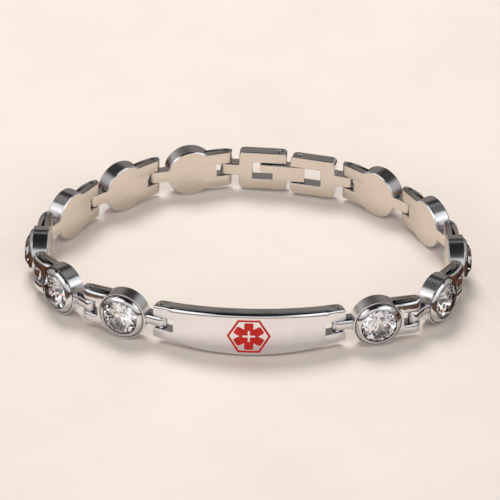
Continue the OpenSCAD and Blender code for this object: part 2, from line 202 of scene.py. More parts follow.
# Shapes
class Surface:
    """The grids of one mesh: points, faces, each face's finish and each point's brushing."""

    def __init__(self):
        self.points, self.faces, self.finishes, self.brushing = [], [], [], []
        self.count = 0

    def grid(self, points, finish=POLISHED, brush=None, ring=True, loop=False, flip=False):
        """A grid of points[row, column] with a face in each of its squares, which looks the way of
        its columns' direction crossed with its rows'. ring joins the last column to the first, and
        loop the last row to the first. brush is where each point lies across and along the marks
        of the brushing: without it, they run along X. Returns the points' numbers."""
        rows, columns = points.shape[:2]
        number = np.arange(rows * columns).reshape(rows, columns) + self.count
        wide = np.concatenate([number, number[:, :1]], 1) if ring else number
        deep = np.concatenate([wide, wide[:1]], 0) if loop else wide
        squares = np.stack([deep[:-1, :-1], deep[:-1, 1:], deep[1:, 1:], deep[1:, :-1]], -1)
        finish = np.broadcast_to(finish, squares.shape[:2]).reshape(-1)
        squares = squares.reshape(-1, 4)
        self.faces += (squares[:, ::-1] if flip else squares).tolist()
        self.finishes += finish.tolist()
        if brush is None:
            brush = straight_brushing(points)
        self.points.append(points.reshape(-1, 3))
        self.brushing.append(np.broadcast_to(brush, points.shape).reshape(-1, 3))
        self.count += rows * columns
        return number[::-1] if flip else number

    def lid(self, ring, finish=POLISHED, under=False):
        """One flat face inside a ring of points, which looks along the rows that led up to it, or
        back against them under the first row."""
        self.faces.append(ring[::-1].tolist() if under else ring.tolist())
        self.finishes.append(int(finish))

    def close(self, number, first=POLISHED):
        """A lid under the first row of a grid and one on its last."""
        self.lid(number[0], first, under=True)
        self.lid(number[-1])

    def mesh(self, name, place, seed=0.0, sharp=38):
        """The mesh, put where it belongs."""
        turn, start = place
        points = np.concatenate(self.points) @ turn.T + start
        mesh = bpy.data.meshes.new(name)
        mesh.from_pydata(points.tolist(), [], self.faces)
        mesh.polygons.foreach_set("material_index", np.array(self.finishes, np.int32))
        mesh.polygons.foreach_set("use_smooth", np.ones(len(self.faces), bool))
        keep_brushing(mesh, np.concatenate(self.brushing) / MM + np.array([0.0, 3.0, 7.0]) * seed)
        mesh.set_sharp_from_angle(angle=np.radians(sharp))
        mesh.update()
        return mesh


def keep_brushing(mesh, brush):
    """Writes each point's place across and along the brush marks, in millimetres, to the mesh."""
    own = mesh.attributes.new("brush", "FLOAT_VECTOR", "POINT")
    own.data.foreach_set("vector", brush.astype(np.float32).ravel())


def smooth(part):
    """A part of one with a soft start and end: three times its square less twice its cube."""
    return part * part * (3 - 2 * part)


def eased(corners, cuts, steps=5):
    """An open line with its corners rounded: each one becomes a parabola that leaves the line a cut
    before the corner and meets it again a cut after it. One more point a fifth of a cut further out
    on both sides keeps the flats beside it flat in their shading."""
    c = np.asarray(corners, float)
    cuts = np.broadcast_to(cuts, len(c)).astype(float).copy()
    cuts[[0, -1]] = 0
    before = np.roll(c, 1, 0) - c
    after = np.roll(c, -1, 0) - c
    near, next_ = np.linalg.norm(before, axis=1), np.linalg.norm(after, axis=1)
    cuts = np.minimum(cuts, 0.4 * np.minimum(near, next_))
    cut = cuts[:, None]
    pull = before / near[:, None] * cut
    push = after / next_[:, None] * cut
    s = np.linspace(0, 1, steps)[None, :, None]
    curve = c[:, None] + (1 - s) ** 2 * pull[:, None] + s * s * push[:, None]
    line = np.concatenate([(c + 1.2 * pull)[:, None], curve, (c + 1.2 * push)[:, None]], 1)
    keep = (cut > 0) | (np.arange(steps + 2) == 0)[None]
    return line[keep]


def revolved(profile, steps):
    """A surface of revolution: a profile of radius and height, turned round the height's axis."""
    angle = np.arange(steps) * 2 * np.pi / steps
    r, h = profile[:, 0, None], profile[:, 1, None]
    return np.stack([r * np.cos(angle), r * np.sin(angle), h + 0 * angle], -1)


def straight_brushing(points):
    """Brushing along X: across it lies the way along Y and Z, and along it a little of the place
    on X, so that the marks are long."""
    x, y, z = np.moveaxis(points, -1, 0)
    return np.stack([y + z, MARK_SHARE * x, 0 * x], -1)


def round_brushing(profile, grid):
    """Brushing that runs round a turned part: across it lies the way along the profile, and along
    it a little of the place round the axis, so that the marks are long and meet themselves."""
    step = np.linalg.norm(np.diff(profile, axis=0), axis=1)
    way = np.concatenate([[0], np.cumsum(step)])[:, None]
    x, y = MARK_SHARE * grid[..., 0], MARK_SHARE * grid[..., 1]
    return np.stack([way + 0 * x, x, y], -1)


def outward_normals(outline):
    """The outward direction at each point of a closed outline that runs counterclockwise: the line
    between a point's two neighbours, turned by a quarter to the right."""
    along = np.roll(outline, -1, 0) - np.roll(outline, 1, 0)
    out = np.stack([along[:, 1], -along[:, 0]], 1)
    return out / np.linalg.norm(out, axis=1, keepdims=True)


def front_share(out):
    """How far each point of an outline belongs to its front, from 0 to 1."""
    return smooth(np.clip(out[:, 1] * 1.2, 0, 1))


def faces_wrist(out, limit=-0.7):
    """Which points of an outline look inwards, to the wrist."""
    return out[:, 1] < limit


def arc(centre, radius, start, end, steps):
    """Points on an arc from one angle to another, in degrees, without its last one."""
    angle = np.radians(np.linspace(start, end, steps, endpoint=False))
    return np.asarray(centre) + radius * np.stack([np.cos(angle), np.sin(angle)], 1)


def straight(start, end, steps):
    """Points on a line from one point to another, without its last one."""
    return np.linspace(start, end, steps, endpoint=False)


def quarter(steps=5):
    """Sines and cosines of a quarter turn."""
    angle = np.linspace(0, np.pi / 2, steps)
    return np.sin(angle), np.cos(angle)


def edge_rows(outline, out, level, edge, up):
    """Rows that round the edge where a flat face meets a wall: for each step of a quarter turn the
    outline lies inwards by the edge's radius less its sine, and above the face by the radius less
    its cosine. They go from the face to the wall, or back for a face on top."""
    rows = [(outline - out * (1.25 * edge)[:, None], level + 0 * edge)]
    rows += [(outline - out * (edge * (1 - s))[:, None], level + up * edge * (1 - c))
             for s, c in zip(*quarter())]
    return rows if up > 0 else rows[::-1]


def bore_rows(outline, centre, level, depth, up):
    """Rows that lead up a bore to a flat face: the points stand round its axis in the direction of
    the outline's points, first at the bore's bottom, then on the rims of its bevel, and once more
    a little outside them, which keeps the face flat in its shading."""
    away = outline - centre
    away = away / np.linalg.norm(away, axis=1, keepdims=True)
    rings = [(BORE_R, depth), (BORE_R, BORE_BEVEL), (BORE_R + BORE_BEVEL, 0.0),
             (BORE_R + 1.6 * BORE_BEVEL, 0.0)]
    rows = [(centre + r * away, level + up * d + 0 * outline[:, 0]) for r, d in rings]
    return rows if up > 0 else rows[::-1]


def stacked(rows):
    """Rows of plan points and heights as one grid of points."""
    return np.stack([np.concatenate([plan, np.asarray(h)[:, None]], 1) for plan, h in rows])


def slab(surface, outline, low, high, edge, finish):
    """A slab over an outline, from a low to a high face, with all its edges rounded."""
    out = outward_normals(outline)
    rows = (edge_rows(outline, out, low + 0 * edge, edge, 1)
            + edge_rows(outline, out, high + 0 * edge, edge, -1))
    surface.close(surface.grid(stacked(rows), finish))


# Places
def middle(node):
    """The middle of a CAD node's box."""
    low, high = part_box(node)
    return (np.array(low) + np.array(high)) / 2


def between(start, end, with_loop):
    """The turn and the start of a piece that runs from one pin to another: X along it, Y outwards
    from the wrist and Z square to both. with_loop is true where it runs clockwise round the loop,
    as seen from above."""
    a, b = middle(start), middle(end)
    x = (b - a) / np.linalg.norm(b - a)
    y = np.array([-x[1], x[0], 0.0]) * (1 if with_loop else -1)
    return np.stack([x, y, np.cross(x, y)], 1), a


def link_place(side, k):
    """Where a stone link lies: from its tongue's pin to its fork's."""
    first = {"left": k, "right": 14 - k}[side]
    second = first + 1 if side == "left" else first - 1
    return between(f"link_pin_{first}", f"link_pin_{second}", side == "left")


def plate_place():
    """Where the name plate lies."""
    return between("link_pin_13", "link_pin_1", True)


def added(name, data):
    """A new object in the scene, which holds a mesh, a light or a camera."""
    piece = bpy.data.objects.new(name, data)
    bpy.context.scene.collection.objects.link(piece)
    return piece


def show(mesh, materials, body, node):
    """Adds a finished piece that stands for a CAD node and rides on a body."""
    for material in materials:
        mesh.materials.append(material)
    piece = added(mesh.name, mesh)
    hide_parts(node)
    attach(piece, body)
    return piece


# Materials
class Wire:
    """A socket in a node tree. Python's operators on it add Math nodes."""

    def __init__(self, tree, socket=None):
        self.tree, self.socket = tree, socket

    def node(self, kind, settings=None, inputs=None, output=0):
        """Adds any node: its settings are set first, then its inputs' values or links. Returns the
        wire of one of its outputs, which is given by its number or its name."""
        made = self.tree.nodes.new(kind)
        for name, value in (settings or {}).items():
            setattr(made, name, value)
        sockets = {s.name: s for s in reversed(made.inputs)}
        sockets.update({s.identifier: s for s in made.inputs})
        for name, value in (inputs or {}).items():
            if isinstance(value, Wire):
                self.tree.links.new(value.socket, sockets[name])
            else:
                sockets[name].default_value = value
        outputs = [s for s in made.outputs if s.enabled]
        found = [s for s in outputs if s.name == output]
        return Wire(self.tree, found[0] if found else outputs[output] if outputs else None)

    def maths(self, operation, first, second, clamp=False):
        """A Math node on two wires or numbers."""
        return self.node("ShaderNodeMath", {"operation": operation, "use_clamp": clamp},
                         {"Value": first, "Value_001": second})

    def __add__(self, other):
        return self.maths("ADD", self, other)

    __radd__ = __add__

    def __sub__(self, other):
        return self.maths("SUBTRACT", self, other)

    def __rsub__(self, other):
        return self.maths("SUBTRACT", other, self)

    def __mul__(self, other):
        return self.maths("MULTIPLY", self, other)

    __rmul__ = __mul__

    def between(self, low, high):
        """0 below low, 1 above high, and smooth between them."""
        return self.node("ShaderNodeMapRange", {"interpolation_type": "SMOOTHSTEP"},
                         {"Value": self, "From Min": low, "From Max": high})

    def mixed(self, first, second):
        """A colour from first, where this wire is 0, to second, where it is 1."""
        return self.node("ShaderNodeMix", {"data_type": "RGBA"},
                         {"Factor_Float": self, "A_Color": opaque(first),
                          "B_Color": opaque(second)}, "Result")

    def stretched(self, scale):
        """A vector wire times another vector."""
        return self.node("ShaderNodeVectorMath", {"operation": "MULTIPLY"},
                         {"Vector": self, "Vector_001": scale})

    def place(self):
        """The place in the object's own space, as a vector."""
        return self.node("ShaderNodeTexCoord", None, None, "Object")

    def bump(self, height, strength, distance):
        """A normal that leans with the slopes of a height, whose whole is a distance."""
        return self.node("ShaderNodeBump", None,
                         {"Height": height, "Strength": strength, "Distance": distance})

    def noise(self, scale, detail=2.0, rough=0.5):
        """The value of a noise texture at this vector."""
        return self.node("ShaderNodeTexNoise", None,
                         {"Vector": self, "Scale": scale, "Detail": detail, "Roughness": rough})


def opaque(shade):
    """A colour with its alpha, where it is one and not a wire."""
    return shade if isinstance(shade, Wire) else (*tuple(shade)[:3], 1.0)


def darker(shade, part):
    """A colour times a number, with nothing over 1."""
    return [min(part * value, 1) for value in shade]


def new_material(name):
    """An empty material's wire, and the material."""
    material = bpy.data.materials.new(name)
    material.use_nodes = True
    material.node_tree.nodes.clear()
    return material, Wire(material.node_tree)


def finished(material, wire, sockets):
    """Ends a material in a Principled shader with these sockets."""
    shader = wire.node("ShaderNodeBsdfPrincipled", None, sockets)
    wire.node("ShaderNodeOutputMaterial", None, {"Surface": shader})
    return material


def steel(name, shade, rough, marks, mark_depth, worn=0.25):
    """Steel with brush marks, which are noise that is drawn out along the brushing, and with
    smudges and faint wear, which are soft noise in the object's own space."""
    found = bpy.data.materials.get(name)
    if found:
        return found
    material, wire = new_material(name)
    brush = wire.node("ShaderNodeAttribute", {"attribute_name": "brush"}, None, "Vector")
    place = wire.place()
    fine = brush.stretched((9.0, 1.3, 1.0)).noise(1.0, 3.0, 0.65)
    broad = brush.stretched((2.1, 0.6, 1.0)).noise(1.0, 2.0)
    smudge = place.noise(260.0, 3.0, 0.6)
    specks = place.noise(2400.0, 2.0, 0.5)
    mark = fine * 0.65 + broad * 0.35
    worn_here = smudge.between(0.42, 0.72) * worn
    swing = mark - 0.5
    roughness = rough + marks * swing + worn_here * 0.16 + specks * 0.02
    tone = wire.maths("ADD", swing * (1.6 * marks + 0.1) + 0.12, worn_here * 0.25, True)
    return finished(material, wire, {
        "Base Color": tone.mixed(shade, darker(shade, 0.72)), "Metallic": 1.0,
        "Roughness": roughness,
        "Normal": wire.bump(mark + specks * 0.3, mark_depth, 0.02 * MM)})


def link_metals():
    """The finishes of a stone link, in the order of their numbers."""
    look = bpy.context.scene.bracelet_finishes
    return [
        steel("mirror_steel", look.steel, look.polish, 0.10, 0.10),
        # Satin steel with its warm tint: painted reflection of warm surroundings
        steel("soft_satin_steel_warm_reflection", look.satin, look.satin_rough, 0.22, 0.55),
        # The seam finish is steel painted dark: painted shade in the groove between rim and bezel
        # and on the lip's inner wall, over real recesses
        steel("seam_shade_steel", darker(look.steel, 0.16), 0.45, 0.1, 0.2),
        steel("turned_steel", look.steel, look.turned_rough, 0.14, 0.15),
    ]


# Pieces
class BRACELET_OT_stone_links(bpy.types.Operator):
    """Builds the eleven stone links: a turned disc with its bezel, a fork and a tongue"""

    bl_idname = "bracelet.stone_links"
    bl_label = "Stone links"

    def execute(self, context):
        sizes, stones = context.scene.bracelet_links, context.scene.bracelet_stones
        for seed, (side, k) in enumerate(LINKS):
            surface = Surface()
            disc(surface, sizes, stones)
            fork(surface, sizes)
            tongue(surface, sizes.fork_t, sizes.tongue_h, sizes.tongue_len, sizes.front_edge,
                   sizes.back_edge)
            mesh = surface.mesh(f"link_{side}_{k}_metal", link_place(side, k), 5.3 * seed)
            show(mesh, link_metals(), "bracelet", f"link_{side}_{k}")
        return {"FINISHED"}


def disc_x(sizes):
    """The disc's middle, from the tongue's pin."""
    return sizes.tongue_len + sizes.disc_d / 2


def disc(surface, sizes, stones):
    """A turned disc: a flat back, a chamfer, a straight side, a rim, a seam, a bezel whose slope is
    a parabola over the line from its foot to its lip, and the stone's seat with its cone."""
    r = sizes.disc_d / 2
    back = -sizes.fork_t / 2
    rim = back + sizes.disc_t
    lip = rim + sizes.bezel_rise
    seat_r = stones.stone_d / 2 + stones.seat_gap
    bezel_r = r - sizes.rim_w - sizes.seam_w
    girdle = lip - stones.lip_over_girdle - stones.girdle_h - stones.seat_gap
    foot, top = np.array([bezel_r, rim]), np.array([seat_r + sizes.lip_w, lip])
    along = top - foot
    out = np.array([along[1], -along[0]]) / np.linalg.norm(along)
    t = np.linspace(0, 1, 15)[:, None]
    slope = foot + t * along + 4 * t * (1 - t) * sizes.bezel_bulge * out
    tiny, back_lid, cone_lid, lip_in, lip_down = np.array([0.04, 0.3, 0.12, 0.09, 0.08]) * MM
    lower = eased(
        [[back_lid, back], [r - sizes.back_chamfer, back], [r, back + sizes.back_chamfer],
         [r, rim], [r - sizes.rim_w, rim], [r - sizes.rim_w, rim - sizes.seam_depth]],
        [0, tiny, tiny, tiny, tiny, 0])
    seam = np.array([[bezel_r, rim - sizes.seam_depth]])
    upper = eased(
        [slope[-1], [seat_r + lip_in, lip], [seat_r, lip - lip_down], [seat_r, girdle],
         [cone_lid, girdle - stones.pavilion_h]], [0, tiny, 0, 0, 0])
    profile = np.concatenate([lower, seam, slope[:-1], upper])
    grid = revolved(profile, 96)
    hair, step = 0.0001 * MM, 0.01 * MM
    mid_r, mid_h = ((profile[1:] + profile[:-1]) / 2).T
    in_seam = ((mid_h < rim - step) & (mid_h > back + hair) & (mid_r > bezel_r - hair)
               & (mid_r < r - sizes.rim_w + hair))
    in_lip = (mid_h < lip - step) & (mid_h > girdle) & (mid_r < seat_r + 8 * step)
    finish = np.full(len(profile) - 1, POLISHED)
    finish[(mid_h < back + hair) & (mid_r < r)] = SATIN
    finish[mid_r > r - step] = TURNED
    # The seam and the lip's inner wall get the darkened steel: painted shade in these recesses
    finish[in_seam | in_lip] = SHADED_SEAM
    brush = round_brushing(profile, grid)
    flat = grid[..., 2] <= back + hair
    brush[flat] = straight_brushing(grid[flat] * [1, 1, 0])
    number = surface.grid(grid @ FACING + [disc_x(sizes), 0, 0], finish[:, None], brush)
    surface.close(number, SATIN)


def fork_outline(sizes, reach):
    """The fork in plan, from its root to its pin at zero: straight at the back, a round end on the
    pin, and a crowned front, which is an arc that runs into the end's circle."""
    half, crown, tilt = sizes.fork_t / 2, sizes.crown_r, sizes.crown_tilt
    centre = -(crown - half) * np.array([np.sin(tilt), np.cos(tilt)])
    last = np.degrees(np.arccos((-reach - centre[0]) / crown))
    root = centre[1] + np.sqrt(crown ** 2 - (-reach - centre[0]) ** 2)
    return np.concatenate([
        straight([-reach, -half], [0, -half], 14),
        arc([0, 0], half, -90, 90 - np.degrees(tilt), 30),
        arc(centre, crown, 90 - np.degrees(tilt), last, 26),
        straight([-reach, root], [-reach, -half], 8)])


def fork(surface, sizes):
    """The fork, carried up along Z: the whole outline in the lower ear, then the outline cut short
    at the slot's bottom, then the whole outline again in the upper ear. Its front edges are
    rounded more than its back ones."""
    r = sizes.disc_d / 2
    web, bore_depth, fade = 0.25 * MM, 0.45 * MM, 0.4 * MM
    pitch = disc_x(sizes) + r + web + sizes.slot_reach
    reach = pitch - disc_x(sizes) - np.sqrt(r ** 2 - (sizes.fork_h / 2) ** 2) + ROOT
    outline = fork_outline(sizes, reach)
    out = outward_normals(outline)
    edge = sizes.back_edge + (sizes.front_edge - sizes.back_edge) * front_share(out)
    outline[:, 1] -= LAP * faces_wrist(out)
    half_h, half_slot = sizes.fork_h / 2, sizes.tongue_h / 2 + sizes.side_gap
    slot_x = -sizes.slot_reach
    inner = 0.6 * edge * np.clip((outline[:, 0] - slot_x) / fade, 0, 1) + 0.0001 * MM
    ear_inside = [(outline - out * (inner * (1 - s))[:, None], inner * (1 - c))
                  for s, c in zip(*quarter(4))]
    cut = outline.copy()
    cut[:, 0] = np.minimum(cut[:, 0], slot_x)
    level = np.zeros(len(outline))
    low = bore_rows(outline - out * edge[:, None], np.zeros(2), -half_h, bore_depth, 1)
    low += edge_rows(outline, out, level - half_h, edge, 1)
    low += [(plan, -half_slot - rise) for plan, rise in ear_inside[::-1]]
    low += [(cut, level - half_slot)]
    high = [(plan, -np.asarray(h)) for plan, h in low[::-1]]
    finish = np.where(faces_wrist(out), SATIN, POLISHED)[None, :]
    surface.close(surface.grid(stacked(low + high) + [pitch, 0, 0], finish))


def tongue(surface, thickness, height, reach, front_edge, back_edge):
    """A bar with a round end on its pin at zero, which runs along X into the part it belongs to."""
    half, end = thickness / 2, reach + ROOT
    outline = np.concatenate([
        arc([0, 0], half, 90, 270, 40), straight([0, -half], [end, -half], 14),
        straight([end, -half], [end, half], 8), straight([end, half], [0, half], 14)])
    out = outward_normals(outline)
    edge = back_edge + (front_edge - back_edge) * front_share(out)
    finish = np.where(faces_wrist(out), SATIN, POLISHED)[None, :]
    outline[:, 1] -= LAP * faces_wrist(out)
    slab(surface, outline, -height / 2, height / 2, edge, finish)


class BRACELET_OT_stones(bpy.types.Operator):
    """Gives the eleven cut stones their clear glass"""

    bl_idname = "bracelet.stones"
    bl_label = "Stones"

    def execute(self, context):
        glass = clear_glass(context.scene.bracelet_finishes.stone_ior)
        for side, k in LINKS:
            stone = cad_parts[f"stone_{side}_{k}"]
            stone.data.materials.clear()
            stone.data.materials.append(glass)
        return {"FINISHED"}


def clear_glass(refraction):
    """Clear cut glass with a breath of cloudiness and some specks of red and green painted into its
    colour: painted glints that stand in for the fire of a cut stone.
    """
    material, wire = new_material("clear_stone")
    place = wire.place()
    cloud = place.noise(900.0, 2.0).between(0.45, 0.8)
    tint = cloud.mixed((0.97, 0.965, 1.0), (0.88, 0.88, 0.97))
    # Specks of red and green painted into the glass's colour: painted glints of the stone's fire
    for scale, fire in ((1300.0, (1.0, 0.40, 0.30)), (1650.0, (0.75, 1.0, 0.40))):
        tint = place.noise(scale, 0.0).between(0.73, 0.77).mixed(tint, fire)
    return finished(material, wire, {
        "Base Color": tint, "Roughness": place.noise(400.0, 1.0) * 0.01, "IOR": refraction,
        "Transmission Weight": 1.0})


def plate_half_height(sizes, x):
    """Half of the plate's height at a distance from its middle: a shallow arc, which has come down
    to the end's height at the ends."""
    half = plate_pins() / 2 + sizes.end
    drop = (sizes.mid_h - sizes.end_h) / 2
    r = (half ** 2 + drop ** 2) / (2 * drop)
    return np.sqrt(r ** 2 - x ** 2) - r + sizes.mid_h / 2


def plate_pins():
    """The distance between the plate's two pins."""
    return float(np.linalg.norm(middle("link_pin_13") - middle("link_pin_1")))


def on_bow(sizes, x, depth):
    """The place outwards of a point at a distance from the plate's middle and a depth under its
    front: on a circle round the bow's centre, whose distance puts the pins at zero."""
    mid_r = sizes.bow_r - sizes.thickness / 2
    centre = np.sqrt(mid_r ** 2 - (plate_pins() / 2) ** 2)
    return np.sqrt((sizes.bow_r - depth) ** 2 - x ** 2) - centre


class BRACELET_OT_name_plate(bpy.types.Operator):
    """Builds the bowed, barrel-shaped name plate with the prongs at its two ends"""

    bl_idname = "bracelet.name_plate"
    bl_label = "Name plate"

    def execute(self, context):
        sizes = context.scene.bracelet_plate
        surface = Surface()
        plate_body(surface, sizes)
        for end in (-1, 1):
            for level in (-1, 1):
                plate_prong(surface, sizes, end, level)
        look = context.scene.bracelet_finishes
        # The plate's steel is the links' steel made brighter: painted light for the light that the
        # plate's face catches
        shade = darker(look.steel, 1.07)
        metals = [steel("brightened_plate_steel", shade, 0.75 * look.polish, 0.05, 0.03, 0.5),
                  link_metals()[SATIN]]
        mesh = surface.mesh("id_plate_metal", plate_place(), 2.0, 33)
        show(mesh, metals, "bracelet", "id_plate")
        return {"FINISHED"}


def plate_body(surface, sizes):
    """The plate between its slots: for each place along it a closed section, whose front is flat up
    to where a quarter of a circle rounds its long edges, whose top and bottom follow the barrel and
    whose back is flat. Each point of it then lies on its own circle of the bow."""
    half = plate_pins() / 2 - PLATE_SLOT
    x = np.linspace(-half, half, 141)
    height = plate_half_height(sizes, x)
    edge, thick, skin = sizes.edge_r, sizes.thickness, sizes.skin
    tiny = 0.035 * MM
    rows = [(skin, (height - edge - tiny) * f) for f in (0.0, 0.25, 0.5, 0.75, 1.0)]
    rows += [(skin + edge * (1 - np.cos(a)), height - edge * (1 - np.sin(a)))
             for a in np.linspace(0, np.pi / 2, 19)]
    front = skin + edge
    rows += [(front + tiny, height), (front + 2 * tiny, height), (thick - 3 * tiny, height),
             (thick - 2 * tiny, height), (thick - 0.6 * tiny, height - 0.6 * tiny),
             (thick, height - 2 * tiny), (thick, height - 3 * tiny), (thick, height * 0.5),
             (thick, 0 * x)]
    depth = np.stack([np.broadcast_to(d, x.shape) for d, _ in rows])
    z = np.stack([h for _, h in rows])
    depth = np.concatenate([depth, depth[-2:0:-1]])
    z = np.concatenate([z, -z[-2:0:-1]])
    grid = np.stack([np.broadcast_to(x, z.shape) + plate_pins() / 2,
                     on_bow(sizes, x, depth), z], -1).transpose(1, 0, 2)
    side = (depth[:, 0] + np.roll(depth[:, 0], -1)) / 2
    finish = np.where(side > thick - 0.5 * tiny, SATIN, POLISHED)[None, :]
    surface.close(surface.grid(grid, finish))


def plate_prong(surface, sizes, end, side):
    """One of the four prongs. In plan it follows the bow, is round at the back of its end and
    square in front. Its height follows the barrel, its front edge is rounded as the body's is,
    less so towards the pin, and the pin's bore is open. end and side, each 1 or -1, mirror it to
    its place."""
    half = plate_pins() / 2
    root = half - PLATE_SLOT
    r_out, t = sizes.bow_r - sizes.skin - LAP, sizes.thickness
    r_mid, r_in = sizes.bow_r - t / 2, sizes.bow_r - t
    pin = np.arcsin(half / r_mid)
    round_x = pin + (sizes.end - t / 2) / r_mid
    last = pin + sizes.end / r_mid

    def polar(angle, r):
        return np.stack(np.broadcast_arrays(r * np.sin(angle), r * np.cos(angle)), 1)

    turn = np.linspace(0, np.pi / 2, 15)[:-1]
    outline = np.concatenate([
        polar(np.linspace(np.arcsin(root / r_in), round_x, 15)[:-1], r_in),
        polar(round_x + t / 2 / r_mid * np.sin(turn), r_mid - t / 2 * np.cos(turn)),
        polar(last, np.linspace(r_mid, r_out, 9)[:-1]),
        polar(np.linspace(last, np.arcsin(root / r_out), 26)[:-1], r_out)])
    corner = polar(np.arcsin(root / r_out), np.array([r_out]))
    wall = straight(corner[0], outline[0], 12)
    wall_starts = len(outline)
    outline = np.concatenate([outline, wall])
    depth = r_out - np.hypot(outline[:, 0], outline[:, 1])
    outline[:, 1] -= r_mid * np.cos(pin)
    out = outward_normals(outline)
    out[wall_starts] = corner[0] / r_out
    slot_low, bore_depth, fade = 1.25 * MM, 0.5 * MM, 1.3 * MM
    at_wall = outline[:, 0] < root + 0.02 * MM
    edge = np.where(at_wall, 0.002 * MM, 0.05 * MM)
    end_edge = sizes.edge_r * (1 - 0.55 * smooth(np.clip((outline[:, 0] - root) / fade, 0, 1)))
    long_edge = edge + (end_edge - edge) * front_share(out)
    over = np.maximum(sizes.edge_r - depth, 0)
    cut = sizes.edge_r - np.sqrt(np.maximum(sizes.edge_r ** 2 - over ** 2, 0))
    cut[:wall_starts + 1] = 0

    def top(plan):
        return plate_half_height(sizes, plan[:, 0]) - LAP

    rows = edge_rows(outline, out, slot_low + 0 * edge, edge, 1)
    rows += [(plan, top(plan) + level - cut)
             for plan, level in edge_rows(outline, out, 0 * edge, long_edge, -1)]
    inner = outline - out * 1.25 * long_edge[:, None]
    rows += [(plan, top(plan) + level)
             for plan, level in bore_rows(inner, np.array([half, 0.0]), 0.0, bore_depth, -1)]
    grid = stacked(rows)
    grid[..., 0] = grid[..., 0] * end + half
    grid[..., 2] *= side
    finish = np.where(faces_wrist(out, -0.8), SATIN, POLISHED)[None, :]
    surface.close(surface.grid(grid, finish, flip=end * side < 0))


class BRACELET_OT_emblem(bpy.types.Operator):
    """Lays the enamelled sign on the plate: a hexagon's line and a star with a bare cross"""

    bl_idname = "bracelet.emblem"
    bl_label = "Emblem"

    def execute(self, context):
        sizes, plate = context.scene.bracelet_emblem, context.scene.bracelet_plate
        surface = Surface()
        corners = np.arange(6) * np.pi / 3
        angle = np.unique(np.concatenate([np.arange(360) * np.pi / 180, corners]))
        side = sizes.hexagon_w / 2 * np.cos(np.pi / 6)
        normals = np.pi / 6 + corners
        enamel_band(surface, plate, sizes.drop, angle, inside(angle, normals, side),
                    inside(angle, normals, side - sizes.hexagon_line))
        angle = np.arange(1440) * np.pi / 720
        star = np.max([star_reach(sizes, angle - a) for a in np.radians([30, 90, 150])], 0)
        cross = np.max([bar_reach(sizes.cross_w / 2, sizes.cross_bar / 2, angle - a)
                        for a in (0, np.pi / 2)], 0)
        enamel_band(surface, plate, sizes.drop, angle, star, cross)
        mesh = surface.mesh("plate_emblem_enamel", plate_place())
        show(mesh, [red_enamel(context.scene.bracelet_finishes.enamel)], "bracelet",
             "plate_emblem")
        return {"FINISHED"}


def inside(angle, normals, offsets):
    """How far a ray from the middle goes in a convex shape: the least, over the sides that it looks
    at, of the side's distance divided by the cosine of the angle between ray and side's normal."""
    facing = np.cos(angle[:, None] - np.atleast_1d(normals)[None, :])
    far = np.where(facing > 1e-6, offsets / np.maximum(facing, 1e-6), 1.0)
    return far.min(1)


def bar_reach(half_length, half_width, angle):
    """How far a ray goes in a bar along X."""
    return inside(angle, np.arange(4) * np.pi / 2, np.array([half_length, half_width] * 2))


def star_reach(sizes, angle):
    """How far a ray goes in a bar with its four corners cut."""
    l, w = sizes.star_w / 2, sizes.star_bar / 2
    cut = (l + w - sizes.star_corner) / np.sqrt(2)
    return np.minimum(bar_reach(l, w, angle), inside(angle, np.pi / 4 + np.arange(4) * np.pi / 2,
                                                     cut))


def enamel_band(surface, plate, drop, angle, outer, inner):
    """Enamel between two outlines that are given by their reach along rays from the middle. Each
    row mixes the two; the top stands at the plate's full front, sinks by a circle's quarter at
    both edges, and the whole follows the bow."""
    bottom, sunk, soft = 0.2 * MM, 0.022 * MM, 0.07 * MM
    wide = outer - inner
    rim = [(np.minimum(soft, 0.3 * wide) * s, sunk * (1 - np.sqrt(1 - (1 - s) ** 2)))
           for s in np.linspace(0, 1, 5)]
    rows = [(inner, bottom)] + [(inner + way, depth) for way, depth in rim]
    rows += [(inner + wide * f, 0) for f in (0.4, 0.5, 0.6)]
    rows += [(outer - way, depth) for way, depth in rim[::-1]] + [(outer, bottom)]
    reach = np.stack([r for r, _ in rows])
    depth = np.stack([d + 0 * angle for _, d in rows])
    x, z = reach * np.cos(angle), -reach * np.sin(angle) - drop
    grid = np.stack([x + plate_pins() / 2, on_bow(plate, x, depth), z], -1)
    surface.grid(grid[::-1], loop=True)


def red_enamel(shade):
    """Enamel with a glossy skin, faint clouds in its colour and a little orange peel."""
    material, wire = new_material("red_enamel")
    place = wire.place()
    cloud = place.noise(700.0, 3.0, 0.6).between(0.3, 0.75)
    peel = place.noise(4200.0, 1.0)
    return finished(material, wire, {
        "Base Color": cloud.mixed(shade, darker(shade, 0.72)),
        "Roughness": 0.30 + cloud * 0.12, "Specular IOR Level": 0.3, "Coat Weight": 0.05,
        "Coat Roughness": 0.1, "Normal": wire.bump(peel, 0.08, 0.02 * MM)})


class BRACELET_OT_clasp(bpy.types.Operator):
    """Finishes the clasp's two halves: satin faces, polished sides and rounded edges"""

    bl_idname = "bracelet.clasp"
    bl_label = "Clasp halves"

    def execute(self, context):
        rounded_copy("clasp_catch", between("link_pin_7", "catch_pin", True), "bracelet", 0.2)
        rounded_copy("clasp_body", between("link_pin_8", "lever_pin", False), "bracelet", 0.2)
        return {"FINISHED"}


class BRACELET_OT_lever(bpy.types.Operator):
    """Finishes the hooked lever, the one piece that moves"""

    bl_idname = "bracelet.lever"
    bl_label = "Lever"

    def execute(self, context):
        rounded_copy("clasp_lever", between("catch_pin", "lever_pin", True), "lever", 0.09)
        return {"FINISHED"}


